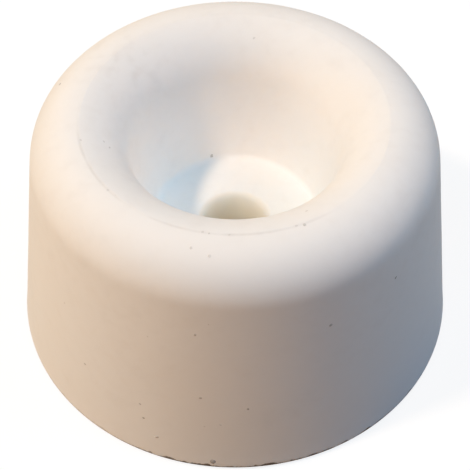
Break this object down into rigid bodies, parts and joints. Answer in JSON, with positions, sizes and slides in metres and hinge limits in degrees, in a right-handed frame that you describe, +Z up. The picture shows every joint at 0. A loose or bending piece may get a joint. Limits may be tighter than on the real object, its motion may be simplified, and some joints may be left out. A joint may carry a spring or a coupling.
{
  "type": "rubber bumper",
  "caption": "Round moulded rubber bumper with a tapered body, a full round rim, a deep recess that hides the screw head, and a plain screw hole through the floor of the recess.",
  "frame": {"origin": "centre of the flat base, on the axis of the screw hole", "axes": "+Z up the axis of the screw hole, from the base towards the rim; the part is round, so +X and +Y are any two directions across it"},
  "size_m": [0.038, 0.038, 0.022],
  "materials": {
    "white_rubber": "matt off-white moulded rubber with a faint mould line and small dirt specks"
  },
  "bodies": {
    "root": {"bumper_body": "white_rubber"}
  },
  "joints": []
}
